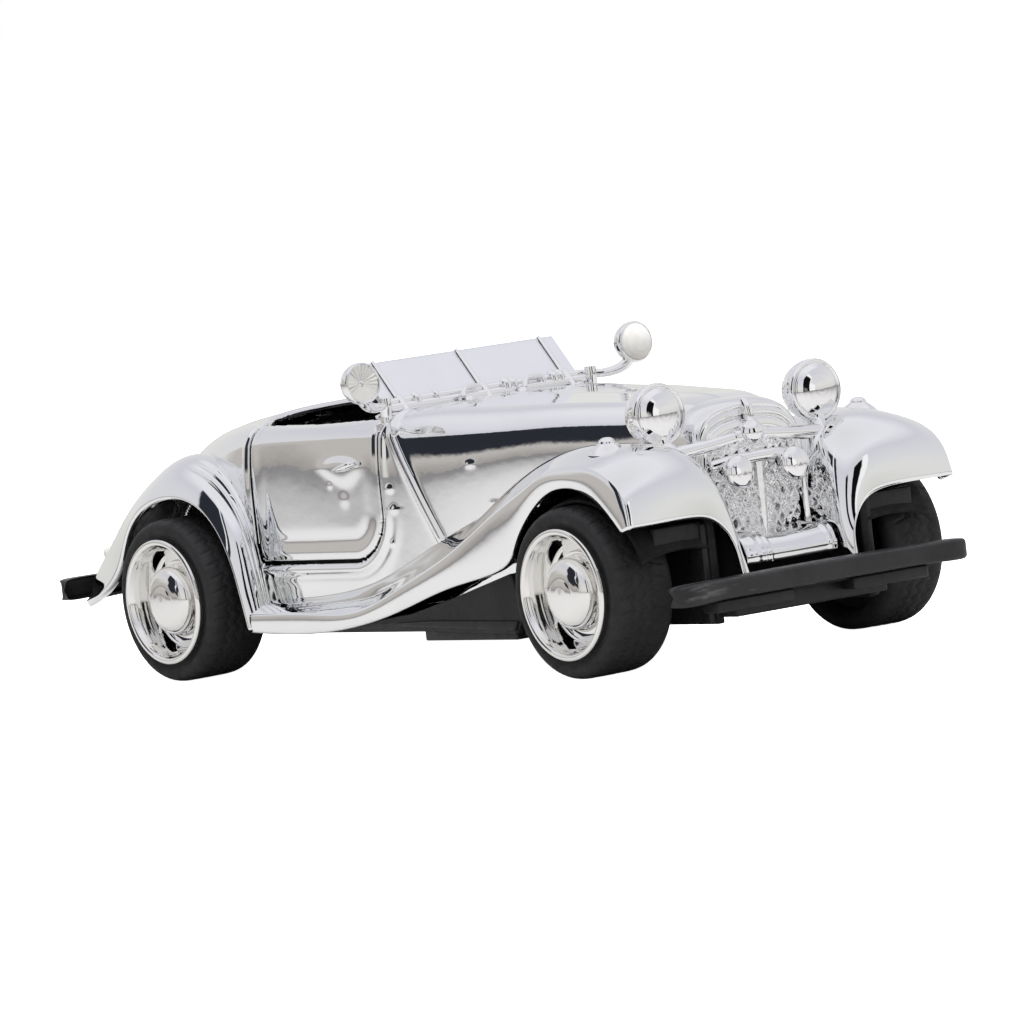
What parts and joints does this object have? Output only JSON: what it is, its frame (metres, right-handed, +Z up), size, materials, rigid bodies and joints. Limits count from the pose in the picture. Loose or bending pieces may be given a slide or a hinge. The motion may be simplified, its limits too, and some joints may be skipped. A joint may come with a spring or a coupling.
{
  "type": "model_car",
  "caption": "Die-cast collector car: a plated vintage open roadster on a black base, with opening doors, rolling wheels and a pull-back drive",
  "frame": {"origin": "centre of the whole car's footprint, on the surface it stands on", "axes": "+X forward, +Y to the car's left, +Z up"},
  "size_m": [0.1406, 0.0566, 0.0418],
  "materials": {
    "plated_body": "bright silver plating over a die casting, mirror gloss with a faint orange peel",
    "plated_trim": "bright silver plating on small trim",
    "plated_lens": "plated lamp lens, domed and smooth",
    "pearl_lens": "pearl white lamp lens",
    "silvered_pane": "opaque silvery windshield pane",
    "black_chassis": "black moulded plastic, satin",
    "black_interior": "black moulded plastic, satin",
    "steel": "bare steel",
    "motor_plastic": "pale nylon",
    "tyre": "matte black rubber with a fine tread",
    "plated_wheel": "bright plated wheel"
  },
  "bodies": {
    "car_body": {"body_shell": "plated_body", "chassis_base": "black_chassis", "interior_tub": "black_interior", "steering_wheel": "black_interior", "grille": "plated_trim", "front_apron": "plated_trim", "headlamp_bar": "plated_trim", "headlamp_shell_left": "plated_trim", "headlamp_shell_right": "plated_trim", "headlamp_lens_left": "plated_lens", "headlamp_lens_right": "plated_lens", "fog_lamp_left": "plated_trim", "fog_lamp_right": "plated_trim", "fog_lens_left": "plated_lens", "fog_lens_right": "plated_lens", "marker_lamp_left": "plated_lens", "marker_lamp_right": "plated_lens", "windshield_frame": "plated_trim", "windshield_pane": "silvered_pane", "spot_lamp_left": "plated_trim", "spot_lamp_right": "plated_trim", "spot_lens_left": "pearl_lens", "spot_lens_right": "pearl_lens", "tail_lamp_left": "pearl_lens", "tail_lamp_right": "pearl_lens", "base_screws": "steel", "motor_case": "motor_plastic", "motor_cover": "motor_plastic", "barrel_shaft": "steel"},
    "left_door": {"door_left": "plated_body", "door_handle_left": "plated_trim"},
    "right_door": {"door_right": "plated_body", "door_handle_right": "plated_trim"},
    "front_wheels": {"front_axle": "steel", "front_tyre_left": "tyre", "front_tyre_right": "tyre", "front_rim_left": "plated_wheel", "front_rim_right": "plated_wheel", "front_hub_cap_left": "plated_wheel", "front_hub_cap_right": "plated_wheel"},
    "rear_wheels": {"rear_axle": "steel", "rear_pinion": "motor_plastic", "rear_tyre_left": "tyre", "rear_tyre_right": "tyre", "rear_rim_left": "plated_wheel", "rear_rim_right": "plated_wheel", "rear_hub_cap_left": "plated_wheel", "rear_hub_cap_right": "plated_wheel"},
    "spring_barrel": {"barrel_gear": "motor_plastic", "mainspring": "steel"}
  },
  "joints": [
    {"name": "left_door_hinge", "type": "hinge", "parent": "car_body", "child": "left_door", "pos_m": [-0.02385, 0.0189, 0.02], "axis": [0, 0, 1], "range_deg": [0, 50]},
    {"name": "right_door_hinge", "type": "hinge", "parent": "car_body", "child": "right_door", "pos_m": [-0.02385, -0.0189, 0.02], "axis": [0, 0, -1], "range_deg": [0, 50]},
    {"name": "front_axle_spin", "type": "hinge", "parent": "car_body", "child": "front_wheels", "pos_m": [0.0502, 0, 0.0111], "axis": [0, 1, 0], "continuous": true},
    {"name": "rear_axle_spin", "type": "hinge", "parent": "car_body", "child": "rear_wheels", "pos_m": [-0.0389, 0, 0.0111], "axis": [0, 1, 0], "continuous": true},
    {"name": "spring_barrel_spin", "type": "hinge", "parent": "car_body", "child": "spring_barrel", "pos_m": [-0.04555, 0, 0.014], "axis": [0, 1, 0], "continuous": true}
  ],
  "couplings": [
    {"joint": "spring_barrel_spin", "follows": "rear_axle_spin", "ratio": -0.5}
  ]
}
